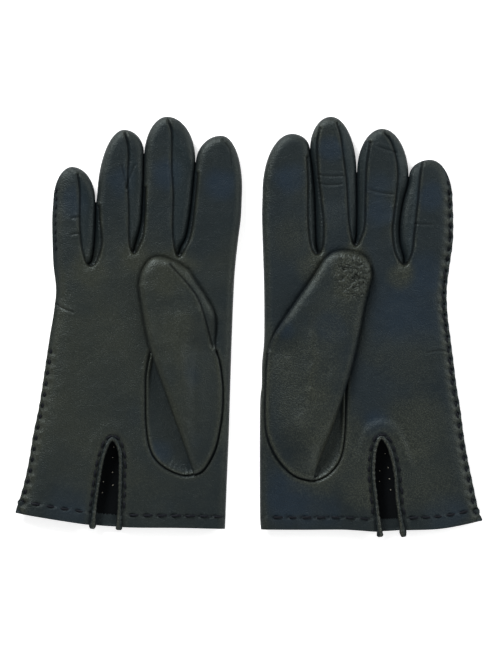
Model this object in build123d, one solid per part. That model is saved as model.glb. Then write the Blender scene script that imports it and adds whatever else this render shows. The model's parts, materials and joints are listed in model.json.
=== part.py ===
"""A pair of gentlemen's leather dress gloves, lying flat with the palms up and the thumbs folded over.

Each glove is one folded cut of leather, the trank, that makes the palm, the back and the fronts and backs
of the fingers. It is folded along the index side and closed by an outside seam along the little side.
Narrow side strips, the fourchettes, join the fronts of the fingers to their backs, and a separate thumb is
set into an opening of the palm. A slit at the wrist, the vent, is bound with a leather strip.

Every piece is modelled on a left glove in its own plan, and a right glove is its mirror image:
x runs from the index side to the little side, y from the hem to the fingertips, and z up, out of the palm.
"""
from build123d import *
import math
import os

# ---------------------------------------------------------------- leather and lay
LEATHER = 1.0  # thickness of one layer of leather
GLOVE_HEIGHT = 9.5  # outside height of the empty palm and fingers
EDGE_ROUND = 3.0  # outside radius where the leather turns over an edge
CLEARANCE = 0.4  # air left between pieces that move past each other

# ---------------------------------------------------------------- palm and cuff
CUFF_WIDTH = 126.5  # across the hem, with the side seam
WRIST_WIDTH = 115.0
PALM_WIDTH = 106.0  # at the narrowest, below the little finger
WRIST_Y = 69.0
PALM_Y = 138.0
INDEX_SIDE = 1.5  # how far the index side stands in from the plan's own edge, at the knuckles
HEM_RISE = 6.0  # how far the hem climbs towards the side seam
HEM_FLAT = 60.0  # width of hem, from the index side, that runs straight
HEM_TURN = 7.0  # depth of the hem that is turned in
SEAM_FLANGE = 2.5  # width of the two leather edges that stand out along the side seam
SEAM_SLIT = 0.2  # gap between those two edges

# ---------------------------------------------------------------- fingers
FINGER_GAP = 0.5
FINGER_TIP = 22.0  # length of the pointed, rounded end of a finger
FINGER_SEAM = 4.0  # how far the seams of the front and back stand in from a finger's side
FINGERS = {  # width, length from hinge to tip, height of the hinge line above the hem
    "index": (30.5, 60.0, 168.0),
    "middle": (26.0, 68.5, 170.0),
    "ring": (26.0, 63.0, 168.0),
    "little": (26.0, 50.0, 162.0),
}
FLEX_ROOM = 0.75  # beyond half the height, between a hinge line and the finger's own leather
OVERRUN = 14.0  # how far a plan runs past an end before that end is trimmed square

# ---------------------------------------------------------------- thumb
THUMB_HEIGHT = 7.5
THUMB_ROUND = 3.2
THUMB_TIP = (48.5, 149.0, 13.0)  # plan circles that the thumb is drawn round: x, y, radius
THUMB_BELLY = (28.5, 95.0, 24.5)
THUMB_HEEL = (29.0, 37.0, 6.0)
THUMB_MOUTH = (30.0, 74.0, 12.0, 20.0)  # opening in its underside: x, y, half width, half length
THUMB_HOLE = (28.0, 64.0, 22.0, 36.0)  # opening in the palm: x, y, half width, half length
GUSSET_FOLD = ((27.0, 26.0), (50.0, 96.0))  # fold that the gusset's straight edge follows

# ---------------------------------------------------------------- vent
VENT_X = 72.0
VENT_WIDTH = 15.5
VENT_HEIGHT = 54.0
VENT_ARCH = 24.0  # length of the pointed arch at the top of the vent
BINDING_WIDTH = 1.9
BINDING_PROUD = 0.7  # how far the binding stands above the palm
BINDING_DEPTH = 1.6  # how far it reaches below the palm's outside
BINDING_TAIL = 2.0  # how far its ends hang past the hem
BINDING_ROUND = 0.6

# ---------------------------------------------------------------- hand stitches
THREAD = 0.9
STITCH_RISE = 0.45
HEM_STITCH = (4.8, 7.8)  # length, pitch
SIDE_STITCH = (3.2, 6.4)
VENT_STITCH = (3.2, 6.5)
FINGER_STITCH = (3.0, 4.8)
HEM_STITCH_UP = 6.3  # height of the hem's row above the hem
VENT_STITCH_OUT = 1.5  # distance of the vent's row from the binding

# ------------------------------------------------------ where each glove lies (x, y, turn in degrees)
LAY = {"right": (-12.0, -117.0, -2.6), "left": (7.0, -118.0, 0.0)}

MID = GLOVE_HEIGHT / 2
HINGE_ROOM = MID + FLEX_ROOM


def between(bottom, top, plan):
    """A plan face made solid from one height to another."""
    return extrude(Pos(0, 0, bottom) * plan, top - bottom)


def arch(width, straight, point, inset=0.0):
    """Plan of a finger or a vent: straight sides from y = 0 and an elliptical point, drawn in by inset."""
    half = width / 2 - inset
    sides = Pos(0, straight / 2 - OVERRUN / 2) * Rectangle(2 * half, straight + OVERRUN)
    return sides + Pos(0, straight) * Ellipse(half, point - inset)


def rounded(plan, bottom, top, radius):
    """A plan made solid with its top and bottom outlines rounded, apart from its straight ends across y."""
    block = between(bottom, top, plan)
    rims = block.faces().sort_by(Axis.Z)[-1].edges() + block.faces().sort_by(Axis.Z)[0].edges()
    rims = [rim for rim in rims if abs((rim @ 1 - rim @ 0).Y) > radius or rim.geom_type != GeomType.LINE]
    return fillet(rims, radius)


def finger_places():
    """{finger: (x of its middle, width, length, hinge height)}, side by side from the index side."""
    places, x = {}, INDEX_SIDE
    for name, (width, length, hinge) in FINGERS.items():
        places[name] = (x + width / 2, width, length, hinge)
        x += width + FINGER_GAP
    return places


PLACES = finger_places()
KNUCKLE_WIDTH = sum(width for width, _, _ in FINGERS.values()) + 3 * FINGER_GAP


# ---------------------------------------------------------------- trank
def little_side(inset):
    """The little side's curve, from past the knuckles to past the hem."""
    knuckles = INDEX_SIDE + KNUCKLE_WIDTH - inset
    return Spline(
        (knuckles, PLACES["ring"][3] + OVERRUN),
        (knuckles, PLACES["little"][3]),
        (INDEX_SIDE + PALM_WIDTH - inset, PALM_Y),
        (WRIST_WIDTH - inset, WRIST_Y),
        (CUFF_WIDTH - inset, 0),
        (CUFF_WIDTH + HEM_RISE / 2 - inset, -OVERRUN),
    )


def index_side(inset):
    """The folded index side's curve, from past the hem to past the knuckles."""
    return Spline(
        (inset, -OVERRUN),
        (inset, 0),
        (INDEX_SIDE / 2 + inset, WRIST_Y),
        (INDEX_SIDE + inset, PALM_Y),
        (INDEX_SIDE + inset, PLACES["ring"][3] + OVERRUN),
    )


def palm_plan(index_inset, little_inset):
    right, left = little_side(little_inset), index_side(index_inset)
    edges = [left, Line(left @ 1, right @ 0), right, Line(right @ 1, left @ 0)]
    return make_face(edges)


def hem_line(up=0.0):
    """The hem's edge: straight under the palm, then climbing towards the side seam."""
    left = Line((-OVERRUN, up), (HEM_FLAT, up))
    far = CUFF_WIDTH + OVERRUN
    rise = HEM_RISE * (far - HEM_FLAT) / (CUFF_WIDTH - HEM_FLAT)
    right = TangentArc((HEM_FLAT, up), (far, up + rise), tangent=(1, 0))
    return left, right


def hand_trim(up=0.0):
    """Plan of everything between the hem and the four hinge lines."""
    left, right = hem_line(up)
    corners = [right @ 1, (CUFF_WIDTH + OVERRUN, PLACES["little"][3])]
    for name, following in (("little", "ring"), ("ring", "middle"), ("middle", "index")):
        middle, width, _, hinge = PLACES[name]
        edge = middle - width / 2 - FINGER_GAP / 2
        corners += [(edge, hinge), (edge, PLACES[following][3])]
    corners += [(-OVERRUN, PLACES["index"][3]), (-OVERRUN, up)]
    corners = [c for n, c in enumerate(corners) if n == 0 or Vector(*c) != Vector(*corners[n - 1])]
    return make_face([left, right, Polyline(*corners)])


def vent_plan(inset=0.0):
    return Pos(VENT_X, 0) * arch(VENT_WIDTH, VENT_HEIGHT - VENT_ARCH, VENT_ARCH, inset)


def oval(place):
    x, y, half_width, half_length = place
    return Pos(x, y) * Ellipse(half_width, half_length)


def trank():
    """Palm and back in one: a flat tube, folded along the index side, with the two edges of its outside
    seam along the little side, a turned-in hem, the vent and the thumb's opening."""
    height, wall = GLOVE_HEIGHT, LEATHER
    edge = SEAM_FLANGE
    outside = rounded(palm_plan(0, edge), 0, height, EDGE_ROUND)
    inside = rounded(palm_plan(wall, edge + wall), wall, height - wall, EDGE_ROUND - wall)
    tight = between(2 * wall, height - 2 * wall, palm_plan(2 * wall, edge + 2 * wall))
    above_hem = between(0, height, hand_trim(HEM_TURN))
    seam_edges = palm_plan(0, 0) - palm_plan(0, edge + wall / 2)
    glove = outside + between(MID - wall, MID + wall, seam_edges)
    glove = glove - (inside & above_hem) - tight
    slit = palm_plan(0, -1) - palm_plan(0, edge + 2 * wall + SEAM_SLIT)
    glove -= between(MID - SEAM_SLIT / 2, MID + SEAM_SLIT / 2, slit)
    glove -= between(MID, height + 1, vent_plan())
    glove -= between(MID, height + 1, oval(THUMB_HOLE))
    return glove & between(-1, height + 1, hand_trim())


# ---------------------------------------------------------------- fingers
def finger(name):
    """One finger's pieces: {part of the finger: solid}. The fronts, backs and folded sides belong to the
    trank's leather, and the fourchettes are strips of their own."""
    middle, width, length, hinge = PLACES[name]
    straight = length - FINGER_TIP

    def plan(inset):
        return Pos(middle, hinge) * arch(width, straight, FINGER_TIP, inset)

    height, wall = GLOVE_HEIGHT, LEATHER
    tube = rounded(plan(0), 0, height, EDGE_ROUND)
    tube -= rounded(plan(wall), wall, height - wall, EDGE_ROUND - wall)
    reach = length + OVERRUN
    room = Pos(middle, hinge + HINGE_ROOM + reach / 2, MID) * Box(width + 2, reach, height + 2)
    tube &= room
    core = between(-1, height + 1, plan(FINGER_SEAM))
    upper = Pos(middle, hinge, MID + height / 2) * Box(width + 2, 2 * reach, height)
    index_half = Pos(middle - width / 2, hinge, MID) * Box(width, 2 * reach, height + 2)
    faces = tube & core
    band = tube - core
    front, back = faces & upper, faces - upper
    index_band, little_band = band & index_half, band - index_half
    if name == "index":
        return {"wrap": tube - little_band, "fourchette": little_band}
    if name == "little":
        palm_side = tube - index_band
        return {"front": palm_side & upper, "back": palm_side - upper, "fourchette": index_band}
    return {
        "front": front,
        "back": back,
        "fourchette_index_side": index_band,
        "fourchette_little_side": little_band,
    }


# ---------------------------------------------------------------- thumb
def thumb_plan(inset=0.0):
    """Plan of the folded thumb: drawn tight round its tip, belly and heel."""
    rings = [Pos(x, y) * Circle(r - inset) for x, y, r in (THUMB_TIP, THUMB_BELLY, THUMB_HEEL)]
    return make_hull([ring.edge() for ring in rings])


def thumb():
    """The thumb's hollow tube, folded over the palm, with the opening that its base is reached through."""
    low = GLOVE_HEIGHT + CLEARANCE
    top = low + THUMB_HEIGHT
    tube = rounded(thumb_plan(), low, top, THUMB_ROUND)
    tube -= rounded(thumb_plan(LEATHER), low + LEATHER, top - LEATHER, THUMB_ROUND - LEATHER)
    return tube - between(low - 1, low + THUMB_HEIGHT / 2, oval(THUMB_MOUTH))


def thumb_gusset():
    """The part of the thumb's leather that stays in the palm, beside the folded tube."""
    (x0, y0), (x1, y1) = GUSSET_FOLD
    far = VENT_X + CUFF_WIDTH
    beside = make_face(Polyline((x0, y0), (far, y0), (far, y1), (x1, y1), (x0, y0)))
    return between(GLOVE_HEIGHT - LEATHER, GLOVE_HEIGHT, oval(THUMB_HOLE) & beside)


def thumb_axis():
    """Two points of the line that the thumb turns about: its fold, that touches its belly and its heel on
    the index side, at half the tube's height."""
    (bx, by, br), (hx, hy, hr) = THUMB_BELLY, THUMB_HEEL
    along = math.atan2(by - hy, bx - hx)
    lean = math.acos((hr - br) / math.hypot(bx - hx, by - hy))
    out = (math.cos(along + lean), math.sin(along + lean))
    z = GLOVE_HEIGHT + CLEARANCE + THUMB_HEIGHT / 2
    heel = (hx + hr * out[0], hy + hr * out[1], z)
    belly = (bx + br * out[0], by + br * out[1], z)
    return heel, belly


# ---------------------------------------------------------------- vent binding
def vent_binding():
    """A strip of leather folded over the vent's raw edge, round the arch and down both sides."""
    strip = vent_plan() - vent_plan(BINDING_WIDTH)
    low, top = GLOVE_HEIGHT - BINDING_DEPTH, GLOVE_HEIGHT + BINDING_PROUD
    bar = between(low, top, strip)
    bar = fillet(bar.faces().sort_by(Axis.Z)[-1].edges(), BINDING_ROUND)
    tail = OVERRUN + VENT_HEIGHT
    return bar & (Pos(VENT_X, tail / 2 - BINDING_TAIL, MID) * Box(2 * VENT_WIDTH, tail, 2 * top))


# ---------------------------------------------------------------- stitches
def row(path, stitch, start, end):
    """(point, direction) of each stitch of one row, evenly spaced between two distances along a path."""
    length, pitch = stitch
    count = max(1, int((end - start - length) // pitch) + 1)
    first = (start + end - (count - 1) * pitch) / 2
    spots = [(first + n * pitch) / path.length for n in range(count)]
    return [(path @ t, path % t) for t in spots]


def lying(spot, length, bottom):
    """A stitch that lies on a level face."""
    point, way = spot
    turn = math.degrees(math.atan2(way.Y, way.X))
    return Pos(point.X, point.Y, bottom) * Rot(0, 0, turn) * extrude(SlotOverall(length, THREAD), STITCH_RISE)


def hem_stitches():
    """One row on the palm side, that holds the turned hem, broken by the vent and the side seam."""
    left, right = hem_line(HEM_STITCH_UP)
    clear = VENT_WIDTH / 2 + VENT_STITCH_OUT + THREAD
    vent_from = OVERRUN + VENT_X - clear - left.length
    spots = row(left, HEM_STITCH, OVERRUN + EDGE_ROUND, left.length)
    spots += row(right, HEM_STITCH, 0, vent_from)
    spots += row(right, HEM_STITCH, vent_from + 2 * clear, right.length - OVERRUN - 2 * EDGE_ROUND)
    return [lying(spot, HEM_STITCH[0], GLOVE_HEIGHT) for spot in spots]


def side_stitches():
    """The side seam's row, on both faces of the two leather edges."""
    path = little_side(SEAM_FLANGE / 2)
    start = OVERRUN + PLACES["ring"][3] - PLACES["little"][3]
    spots = row(path, SIDE_STITCH, start, path.length - OVERRUN - HEM_RISE)
    levels = (MID + LEATHER, MID - LEATHER - STITCH_RISE)
    return [lying(spot, SIDE_STITCH[0], level) for spot in spots for level in levels]


def vent_stitches():
    """A row round the outside of the vent's binding."""
    out = VENT_STITCH_OUT
    sides = VENT_HEIGHT - VENT_ARCH
    half = VENT_WIDTH / 2 + out
    left = Line((VENT_X - half, HEM_TURN), (VENT_X - half, sides))
    point = EllipticalCenterArc((VENT_X, sides), half, VENT_ARCH + out, arc_size=180)
    right = Line((VENT_X + half, sides), (VENT_X + half, HEM_TURN))
    spots = []
    for path in (left, point, right):
        spots += row(path, VENT_STITCH, 0, path.length)
    return [lying(spot, VENT_STITCH[0], GLOVE_HEIGHT) for spot in spots]


def little_stitches():
    """The side seam's row up the little finger, across the joint of its front and back."""
    middle, width, length, hinge = PLACES["little"]
    face = middle + width / 2
    path = Line((face, hinge + HINGE_ROOM), (face, hinge + length - FINGER_TIP))
    upright = Rot(0, 90, 0) * extrude(SlotOverall(FINGER_STITCH[0], THREAD), STITCH_RISE)
    return [Pos(p.X, p.Y, MID) * upright for p, _ in row(path, FINGER_STITCH, 0, path.length)]


# ---------------------------------------------------------------- the pair
def glove_pieces():
    """{name: list of solids} of a left glove in its own plan."""
    pieces = {
        "trank": [trank()],
        "thumb": [thumb()],
        "thumb_gusset": [thumb_gusset()],
        "vent_binding": [vent_binding()],
        "hem_stitches": hem_stitches(),
        "side_stitches": side_stitches(),
        "vent_stitches": vent_stitches(),
        "little_stitches": little_stitches(),
    }
    for name in FINGERS:
        for part, solid in finger(name).items():
            pieces[f"{name}_{part}"] = [solid]
    return pieces


def laid(shape, hand):
    """A left glove's shape put where that hand's glove lies, and mirrored for the right hand."""
    x, y, turn = LAY[hand]
    if hand == "right":
        shape = mirror(shape, about=Plane.YZ)
    return Pos(x, y) * Rot(0, 0, turn) * shape


def pair():
    """({node: shape}, the shift that centres them), with the origin under the middle of the pair."""
    own = glove_pieces()
    placed = {}
    for hand in LAY:
        for name, solids in own.items():
            placed[f"{hand}_{name}"] = Compound([laid(s, hand) for shape in solids for s in shape.solids()])
    box = Compound(list(placed.values())).bounding_box()
    shift = Pos(-box.center().X, -box.center().Y, -box.min.Z)
    return {node: shift * shape for node, shape in placed.items()}, shift


if __name__ == "__main__":
    nodes, _ = pair()
    os.makedirs("parts", exist_ok=True)
    for node, shape in nodes.items():
        export_step(shape, f"parts/{node}.step")
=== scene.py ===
"""A pair of gentlemen's leather gloves lying palm up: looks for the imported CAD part."""

import json
import math
import random

import bpy
import numpy as np
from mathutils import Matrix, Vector, geometry, noise


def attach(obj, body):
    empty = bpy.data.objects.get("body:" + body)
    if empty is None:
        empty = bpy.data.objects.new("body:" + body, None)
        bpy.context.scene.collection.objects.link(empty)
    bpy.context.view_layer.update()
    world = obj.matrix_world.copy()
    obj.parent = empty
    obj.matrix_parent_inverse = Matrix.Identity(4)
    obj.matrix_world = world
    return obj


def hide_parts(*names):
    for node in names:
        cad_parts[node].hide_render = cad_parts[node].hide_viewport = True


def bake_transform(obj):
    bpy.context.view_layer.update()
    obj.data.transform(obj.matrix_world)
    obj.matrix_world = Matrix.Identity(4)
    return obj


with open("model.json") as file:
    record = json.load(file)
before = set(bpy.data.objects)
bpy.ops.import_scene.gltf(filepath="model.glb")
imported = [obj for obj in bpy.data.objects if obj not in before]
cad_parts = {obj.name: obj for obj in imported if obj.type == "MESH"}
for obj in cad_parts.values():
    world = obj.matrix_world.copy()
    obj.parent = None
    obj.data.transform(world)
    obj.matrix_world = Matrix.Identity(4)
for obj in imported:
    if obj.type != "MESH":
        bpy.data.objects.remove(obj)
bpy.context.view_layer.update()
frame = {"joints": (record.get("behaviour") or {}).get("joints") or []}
MM = 0.001

# ------------------------------------------------------------------ the two gloves' cut
# Each glove is cut from dressed lambskin about 1 mm thick and sewn inside out, so the fingers are soft flat
# tubes. The outlines are in mm on the glove's own plan: u from the index side across, v from the hem up.
gloves = {
    "right": {
        "mirror": -1,
        "hem": [(3.6, 0.8), (30, 0.2), (57.6, -0.8), (78.5, -0.6), (99.5, 1.3), (124.9, 4.4)],
        "little_side": [(124.2, 8.3), (120.8, 22.4), (118.5, 36.5), (116.9, 50.5), (114.6, 64.5),
                        (112.9, 78.5), (110.1, 106.5), (108.4, 120.5), (107.6, 134.5), (109.7, 148.4),
                        (110.9, 162.2), (111.7, 176), (111.5, 187)],
        "tips": [((111.5, 187), (101.3, 206.2), (87.2, 186)), ((86.3, 192), (72.1, 229), (60.4, 215.5)),
                 ((60.2, 215.5), (47.6, 237.7), (30.4, 211.7)), ((30.2, 211.7), (15.8, 228.1), (2.6, 195))],
        "gaps": [[(88.9, 150.6), (87.5, 153.3), (86.6, 162.3), (86.4, 174.6), (86.8, 186)],
                 [(63.7, 159.2), (62.6, 164), (60.1, 175.8), (59.8, 190), (60, 203), (60.3, 215.4)],
                 [(37.6, 158.7), (36.6, 162.6), (33.8, 168.8), (32, 181.2), (31, 196.7), (30.7, 205),
                  (30.3, 211.6)]],
        "index_side": [(2.6, 195), (2.6, 181), (3.7, 167), (4.8, 146), (4.7, 111), (4.2, 75), (3.9, 56),
                       (3.8, 28), (3.6, 0.8)],
        "seams": [[(97.9, 201.9), (96.1, 190.5), (95.4, 174.2), (94, 162), (91.6, 153.1), (88.2, 149.4),
                   (84.6, 152.6), (82.4, 162.5), (84, 174.7), (84.9, 184)],
                  [(71.6, 226.8), (69.1, 216.3), (68.8, 199.9), (67.5, 183.6), (66.6, 167.3), (65.4, 160.9),
                   (63.2, 157.6), (61, 161.9), (58.9, 167.6), (58.4, 179.9), (58.6, 196)],
                  [(47.1, 235.6), (44.5, 227.2), (43.7, 209.2), (42.1, 193), (41.5, 172.6), (40.1, 162.8),
                   (37.5, 157), (34, 162.3), (31.1, 171.4), (29.6, 189.4), (28.8, 205.7)]],
        "creases": [[(69.4, 195), (68, 201), (65.4, 208.5)], [(72.8, 207.9), (71, 201), (69.4, 195)],
                    [(100.4, 176.4), (96.3, 177)], [(100, 167), (95.5, 167.7)],
                    [(15.2, 225.6), (12.2, 222.1), (10.4, 218.9), (9.4, 210.8)],
                    [(97, 122), (103, 124), (108, 127)]],
        "thumb_seam": [(24, 30.9), (19, 33.2), (15.2, 38.1), (10.8, 48.9), (8.4, 66.9), (8.7, 83.2),
                       (11.1, 97), (13.4, 103)],
        "gusset_seam": [(51.6, 101), (53.2, 90), (53.4, 81.2), (51.9, 56.8), (48, 42.3), (40.3, 34.5),
                        (30.3, 30.6), (24, 30.9)],
        "thumb_low": [(31.4, 149.6), (20.8, 135), (15.8, 126.5), (14.5, 118.4), (14.6, 109.1), (13.4, 103)],
        "thumb_tip": [(59.9, 139), (58.5, 147.2), (54.8, 153.7), (50.8, 156.2), (45, 155.9), (37.9, 153.4),
                      (31.4, 149.6)],
        "thumb_high": [(24, 30.9), (24.6, 35.5), (36.8, 65.6), (49.7, 97.6), (54.7, 114.3), (59.9, 139)],
        "thumb_folds": [(-0.75, 0.7, [(42.2, 152.2), (30.4, 140.3), (24.2, 131.5), (18.9, 117.1),
                                      (15.6, 106)]),
                        (-0.5, 2.6, [(22.8, 112), (25.3, 90.6), (24.6, 62), (22, 44)]),
                        (0.45, 3.4, [(33, 128), (34, 104), (31, 80)]),
                        (-0.35, 2.0, [(47, 128), (44, 104), (38, 84)])],
        "crumple": None,
        "vent": [(64.9, -2.6), (65.2, 23.7), (65.8, 40), (68, 47.2), (70.3, 49.8), (71.8, 49.6), (74.2, 45.6),
                 (76.8, 35.4), (79.1, 14.9), (80.4, -2.6)],
        "pinholes": [(70.1, 45.2), (70.6, 39.1), (70.2, 30.4), (75.3, 24.8), (75.6, 18.5), (69.7, 23)],
        "side_stitches": (6.0, 103.0),
        "handled": [(76, 84, 72, 0.42), (62, 128, 36, 0.25), (95, 95, 34, 0.22), (100, 45, 30, 0.25),
                    (36, 12, 24, 0.22), (63, 156, 9, 0.5), (38, 152, 10, 0.55), (88, 147, 9, 0.5),
                    (9, 150, 12, 0.3), (35, 110, 14, 0.35), (45, 148, 12, 0.45), (30, 60, 20, 0.2),
                    (56, 30, 7, 0.3)],
        "bruised": [(46, 205, 9, 0.9), (72, 198, 9, 0.8), (100, 185, 9, 0.7), (14, 200, 9, 0.9),
                    (28, 88, 7, 0.8), (44, 44, 8, 0.9), (24, 52, 7, 0.6), (90, 14, 18, 0.8),
                    (40, 12, 10, 0.5), (58, 64, 8, 0.5)],
        "vent_ridge": 0.15,
        "grain": 0.55,
    },
    "left": {
        "mirror": 1,
        "hem": [(-1.9, 1.6), (22, 1.5), (44, 1.6), (54.5, 1.1), (66, 0.4), (82, 1.2), (103.2, 2.2),
                (126, 6.6)],
        "little_side": [(125.2, 9), (123.5, 15), (120.6, 28.9), (117.7, 42.8), (115.4, 56.7), (113.6, 70.7),
                        (111.3, 84.6), (109.6, 98.5), (107.8, 112.4), (106.1, 126.3), (105.7, 140.3),
                        (107.3, 154.2), (109.2, 168.1), (109.4, 181), (109, 192.5)],
        "tips": [((109, 192.5), (96.2, 215.7), (83.9, 205.5)), ((83.7, 205.5), (68.4, 233.6), (53.8, 208)),
                 ((53.6, 208), (38.8, 240.6), (26.6, 221.9)), ((26.4, 221.9), (16.2, 230.7), (-0.9, 197))],
        "gaps": [[(81.2, 156), (81, 159.5), (78.9, 167.3), (78.5, 178.1), (80.4, 191), (83.2, 201),
                  (83.8, 205.4)],
                 [(52.8, 167.4), (53.6, 173), (53.9, 188), (53.8, 200), (53.7, 207.9)],
                 [(31.3, 162.4), (30.5, 166), (30.1, 173.9), (29.5, 194.7), (28.3, 209), (27.2, 216),
                  (26.5, 221.8)]],
        "index_side": [(-0.9, 197), (-1.2, 182), (-0.6, 161), (0, 140), (0, 112), (-1.2, 98), (-1.4, 85),
                       (-2.4, 71), (-2.4, 15), (-1.9, 1.6)],
        "seams": [[(91.9, 214.3), (90.4, 207.2), (88.8, 190.6), (86.9, 173.9), (85.4, 161.5), (81.2, 154.8),
                   (76.3, 161.5), (74.4, 173.9), (75.2, 182.2), (76.6, 194.7), (77.6, 206), (76.4, 217),
                   (73.5, 226), (69.8, 231)],
                  [(61.3, 225.5), (59.2, 211.4), (58.6, 194.7), (58.2, 178.1), (55.9, 170), (53.1, 165.6),
                   (50.9, 169.8), (49.4, 178.1), (48.6, 190.6), (47.9, 203), (46.4, 215), (44.6, 228),
                   (42.2, 237)],
                  [(32.2, 233.8), (30.6, 223.8), (31.2, 207.2), (32.6, 194.7), (34.2, 181.4), (34.4, 170.6),
                   (33.3, 163.6), (30.7, 160.8), (27.8, 163.8), (26.2, 172.3), (25.5, 186.4), (25.7, 203),
                   (25, 217)]],
        "creases": [[(31.8, 206.8), (38, 206), (46.3, 206.2)], [(32.2, 201.8), (38, 201), (44.7, 201.4)],
                    [(61.3, 198.1), (68, 196.4), (74.6, 195.6)], [(66.3, 223), (76.3, 219.7)],
                    [(87.5, 178.5), (97.1, 178.1)], [(94, 104), (101, 105.2), (107, 104.6)]],
        "thumb_seam": [(28, 29.8), (19.7, 31.8), (13, 36.3), (6.4, 44.7), (1.8, 55.5), (0.5, 65.5), (0.6, 80),
                       (1, 92), (1.9, 103.1)],
        "gusset_seam": [(47.4, 100), (47.4, 85), (47.2, 63), (46.3, 50.5), (43.8, 41.3), (38, 33.8),
                        (31.3, 30.1), (28, 29.8)],
        "thumb_low": [(34.8, 158.2), (27.2, 146.1), (16.2, 130.4), (5.8, 114.2), (1.9, 103.1)],
        "thumb_tip": [(62, 147.2), (62, 152.4), (60.3, 157.7), (55.6, 161.1), (48.7, 162.9), (40.6, 162.3),
                      (34.8, 158.2)],
        "thumb_high": [(28, 29.8), (31.3, 39.7), (41.3, 65.5), (49.7, 92.1), (55.5, 117.1), (57.4, 128.1),
                       (62, 147.2)],
        "thumb_folds": [(0.55, 2.4, [(28.4, 121), (28, 106), (30.1, 100.4), (27.2, 89.6), (28, 75.4)]),
                        (-0.4, 2.6, [(36, 126), (37, 104), (35, 84)]),
                        (-0.4, 3.0, [(19, 110), (18.5, 90), (19, 66)])],
        "crumple": (51.5, 149.5, 11.5, 15.5),
        "vent": [(67.2, -2.6), (64.8, 17.2), (63.1, 33.8), (63.8, 46.3), (65.7, 53), (68.2, 55), (71.1, 51.8),
                 (73.8, 45), (76.1, 33.8), (77.5, 17.2), (80.8, -2.6)],
        "pinholes": [(71.9, 37.4), (72.7, 30.8), (73.4, 24.4), (66.9, 29.3), (67.1, 35.5), (70.2, 45.4)],
        "side_stitches": (6.0, 152.0),
        "handled": [(88, 62, 17, 0.65), (48, 44, 18, 0.6), (58, 24, 10, 0.7), (96, 30, 18, 0.55),
                    (32, 62, 18, 0.65), (24, 96, 20, 0.45), (50, 150, 12, 0.8), (44, 130, 18, 0.35),
                    (78, 148, 7, 0.6), (28, 153, 8, 0.5), (16, 170, 12, 0.3), (85, 100, 16, 0.3),
                    (38, 185, 8, 0.3), (30, 35, 14, 0.5)],
        "bruised": [(62, 120, 90, 0.28), (39, 119, 8, 1.0), (13, 116, 5, 0.7), (14, 205, 8, 1.0),
                    (38, 222, 7, 0.9), (38, 185, 7, 0.6), (68, 185, 8, 0.8), (96, 195, 8, 0.9),
                    (14, 20, 14, 0.9), (66, 62, 8, 1.0), (104, 12, 12, 0.9), (80, 125, 20, 0.6),
                    (66, 200, 7, 0.6), (30, 14, 12, 0.8), (95, 150, 10, 0.6)],
        "vent_ridge": 0.6,
        "grain": 1.15,
    },
}
fingers = ["index", "middle", "ring", "little"]
GAP = 0.14  # width of the slit between two fingers
FLANGE = 2.2  # width of the side seam's two raw edges
MIDDLE = 4.6  # height of the side fold
HINGE_LEVEL = 4.75  # height of the fingers' hinges
HIGH = {"palm": 4.15, "back": 3.75}  # how far each side stands off the side fold
TURN = 7.0  # depth of the turned hem
ROW = 7.2  # from the hem to its stitches
STRIP = 3.6  # how far a fourchette reaches onto the back of a finger
PRESS = 0.13  # how far the two walls of a slit are pressed together
CROWDED = 0.34  # points of a mesh nearer than this are thinned out
HINGES = {"index": 168, "middle": 170, "ring": 170, "little": 162}  # from the hem
INDEX_MIDDLE = 16.75  # the middle of the index finger's hinge
LEATHER = 0.96  # thickness of the leather
DOUBLED = 1.5  # leather thicker than this is turned up double
BEND = (-9, 10)  # where a finger's bend zone starts and ends, from its hinge; its pieces begin at the start, and no bend is made
SIDE_PITCH, HEM_PITCH, VENT_PITCH, LITTLE_PITCH = 6.4, 7.8, 5.9, 4.8  # from one stitch to the next


def even(line, step):
    """The same line with points an even step apart."""
    runs = np.hypot(*np.diff(line, axis=0).T[:2])
    along = np.concatenate([[0], np.cumsum(runs)])
    spots = np.linspace(0, along[-1], max(1, round(along[-1] / step)) + 1)
    return np.column_stack([np.interp(spots, along, column) for column in line.T])


def soft(points, step):
    """Points an even step apart on a soft curve through the given ones."""
    p = np.array(points, float)
    p = np.vstack([2 * p[0] - p[1], p, 2 * p[-1] - p[-2]])
    t = np.linspace(0, 1, 13)[:-1, None]
    curve = []
    for a, b, c, d in zip(p, p[1:], p[2:], p[3:]):
        bend = (2 * a - 5 * b + 4 * c - d) * t**2 + (3 * b - a - 3 * c + d) * t**3
        curve.append(0.5 * (2 * b + (c - a) * t + bend))
    return even(np.vstack(curve + [p[-2:-1]]), step)


def beside(line, shift):
    """The line moved sideways, to the right of its own direction."""
    way = np.gradient(line, axis=0)
    way /= np.hypot(*way.T)[:, None]
    return line + np.asarray(shift).reshape(-1, 1) * np.column_stack([way[:, 1], -way[:, 0]])


def reach(points, line):
    """Each point's distance to a line, and how far along the line its nearest place is."""
    a, run = line[:-1], np.diff(line, axis=0)
    size = np.maximum((run**2).sum(1), 1e-12)
    start = np.concatenate([[0], np.cumsum(np.sqrt(size))])[:-1]
    away, along = np.empty(len(points)), np.empty(len(points))
    for n in range(0, len(points), 2000):
        p = points[n : n + 2000, None]
        t = np.clip(((p - a) * run).sum(2) / size, 0, 1)
        d = np.hypot(p[..., 0] - a[:, 0] - t * run[:, 0], p[..., 1] - a[:, 1] - t * run[:, 1])
        k = d.argmin(1)
        row = np.arange(len(k))
        away[n : n + 2000] = d[row, k]
        along[n : n + 2000] = start[k] + t[row, k] * np.sqrt(size[k])
    return away, along


def inside(points, loop):
    """Which points lie inside a closed loop."""
    x, y = points.T
    odd = np.zeros(len(points), bool)
    for (ax, ay), (bx, by) in zip(loop, np.roll(loop, -1, 0)):
        if ay != by:
            odd ^= ((ay > y) != (by > y)) & (x < (bx - ax) * (y - ay) / (by - ay) + ax)
    return odd


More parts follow.
